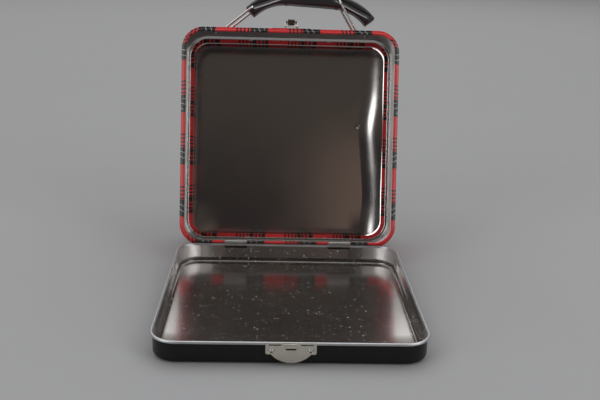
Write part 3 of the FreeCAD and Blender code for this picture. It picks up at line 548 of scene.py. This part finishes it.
def make_grip_moulding(material):
    """The grip as it leaves the mould: the solid's form with every edge and end rounded."""
    solid = nodes["handle_grip"]
    piece = bpy.data.objects.new("grip_moulding", solid.data.copy())
    bpy.context.scene.collection.objects.link(piece)
    piece.matrix_world = solid.matrix_world
    skin = piece.modifiers.new("skin", "REMESH")
    skin.mode = "VOXEL"
    skin.voxel_size = GRIP_VOXEL
    skin.use_smooth_shade = True
    soften = piece.modifiers.new("soften", "SMOOTH")
    soften.factor = GRIP_SOFTENING
    soften.iterations = GRIP_SOFTENING_ROUNDS
    piece.data.materials.clear()
    piece.data.materials.append(material)
    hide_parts("handle_grip")
    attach(piece, "grip")


# Finishes given to the solids

def dress():
    """Gives each carried-over solid its finish."""
    zinc = plated("hinge_zinc", (0.46, 0.46, 0.45), (0.60, 0.60, 0.59), roughness=0.36, edge=0.15 * MM)
    nickel = plated("latch_nickel", (0.60, 0.56, 0.49), (0.74, 0.70, 0.62), roughness=0.22, edge=0.2 * MM)
    # The hasp: the latch's nickel in a darker copy, painted shade, and smoother
    hasp = plated("hasp_nickel_painted_shade", (0.50, 0.46, 0.40), (0.66, 0.62, 0.55), roughness=0.12, edge=0.15 * MM)
    steel = plated("rivet_steel", (0.70, 0.69, 0.68), (0.82, 0.81, 0.80), roughness=0.24, edge=0.2 * MM)
    wire = plated("wire_steel", (0.68, 0.66, 0.64), (0.80, 0.79, 0.78), roughness=0.18, edge=0.1 * MM)
    finishes = (
        (lid_material(), ["lid_pan"]),
        (back_material(), ["back_pan"]),
        (band_material(), ["case_band"]),
        (zinc, ["left_hinge_strap", "right_hinge_strap", "left_handle_bracket", "right_handle_bracket"]),
        (nickel, ["latch_catch_plate", "latch_base_plate"]),
        (hasp, ["latch_hasp"]),
        (steel, ["catch_rivets", "base_rivets", "bracket_rivets", "hasp_pin"]),
        (wire, ["left_wire_link", "right_wire_link"]),
    )
    for material, names in finishes:
        for name in names:
            slots = nodes[name].data.materials
            slots.clear()
            slots.append(material)


# Studio: a pale floor and soft lights in a dim room

def floor_material():
    graph = Finish("floor_paper")
    mottle = graph.noise(graph.position, scale=9.0, detail=3.0)
    tint = graph.colour(mottle, [part * FLOOR_MOTTLE for part in FLOOR_GREY], FLOOR_GREY)
    return graph.finish(graph.surface(tint, metallic=0.0, roughness=0.8))


def make_floor():
    reach = FLOOR_SIZE / 2
    corners = [(-reach, -reach, 0), (reach, -reach, 0), (reach, reach, 0), (-reach, reach, 0)]
    mesh = bpy.data.meshes.new("floor")
    mesh.from_pydata(corners, [], [(0, 1, 2, 3)])
    mesh.materials.append(floor_material())
    card = bpy.data.objects.new("floor", mesh)
    bpy.context.scene.collection.objects.link(card)
    card.location = FLOOR_AT
    # Half a turn, which moves only the paper's mottle
    card.rotation_euler.z = math.pi


def make_light(name, width, height, watts, place, aim):
    data = bpy.data.lights.new(name, "AREA")
    data.shape = "RECTANGLE"
    data.size = width
    data.size_y = height
    data.energy = watts
    lamp = bpy.data.objects.new(name, data)
    bpy.context.scene.collection.objects.link(lamp)
    lamp.location = place
    lamp.rotation_mode = "QUATERNION"
    lamp.rotation_quaternion = (Vector(aim) - Vector(place)).to_track_quat("-Z", "Y")


def make_room():
    """The unlit room: darker near the floor, with a dim warm wall ahead of the box, a little to its right."""
    world = bpy.data.worlds.new("studio")
    world.use_nodes = True
    graph = Graph(world.node_tree)
    right, away, up = graph.split(graph.coordinates["Generated"])
    gloom = graph.colour(graph.step(up, *ROOM_RISE), ROOM_LOW, ROOM_HIGH)
    across = graph.times(graph.step(right, *WARM_WALL_LEFT_EDGE), graph.step(right, *WARM_WALL_RIGHT_EDGE))
    wall = graph.times(graph.step(away, *WARM_WALL_AHEAD), across, graph.step(up, *WARM_WALL_TOP))
    background = graph.node("ShaderNodeBackground")
    graph.feed(background.inputs["Color"], graph.colour(wall, gloom, WARM_WALL))
    output = graph.node("ShaderNodeOutputWorld")
    graph.feed(output.inputs["Surface"], background.outputs[0])
    bpy.context.scene.world = world


def make_studio():
    make_floor()
    make_room()
    make_light("overhead", OVERHEAD_SIZE, OVERHEAD_SIZE, OVERHEAD_WATTS, OVERHEAD_AT, OVERHEAD_AIM)
    for name, place in (("left_box", LEFT_BOX_AT), ("right_box", RIGHT_BOX_AT)):
        make_light(name, SIDE_BOX_WIDTH, SIDE_BOX_HEIGHT, SIDE_BOX_WATTS, place, SIDE_BOX_AIM)


def make_camera():
    right = Vector((math.cos(CAMERA_YAW), -math.sin(CAMERA_YAW), 0))
    level = Vector((math.sin(CAMERA_YAW), math.cos(CAMERA_YAW), 0))
    ahead = level * math.cos(CAMERA_PITCH) - Vector((0, 0, math.sin(CAMERA_PITCH)))
    up = right.cross(ahead)
    turn = math.cos(CAMERA_ROLL)
    lean = math.sin(CAMERA_ROLL)
    right, up = right * turn + up * lean, up * turn - right * lean
    data = bpy.data.cameras.new("camera")
    data.lens = LENS
    data.sensor_width = SENSOR_WIDTH
    data.clip_start = NEAREST
    data.clip_end = FARTHEST
    camera = bpy.data.objects.new("camera", data)
    bpy.context.scene.collection.objects.link(camera)
    axes = Matrix((right, up, -ahead)).transposed().to_4x4()
    camera.matrix_world = Matrix.Translation(CAMERA_AT) @ axes
    bpy.context.scene.camera = camera


dress()
make_grip_moulding(grip_material())
make_studio()
make_camera()
bpy.context.scene.view_settings.view_transform = "Standard"
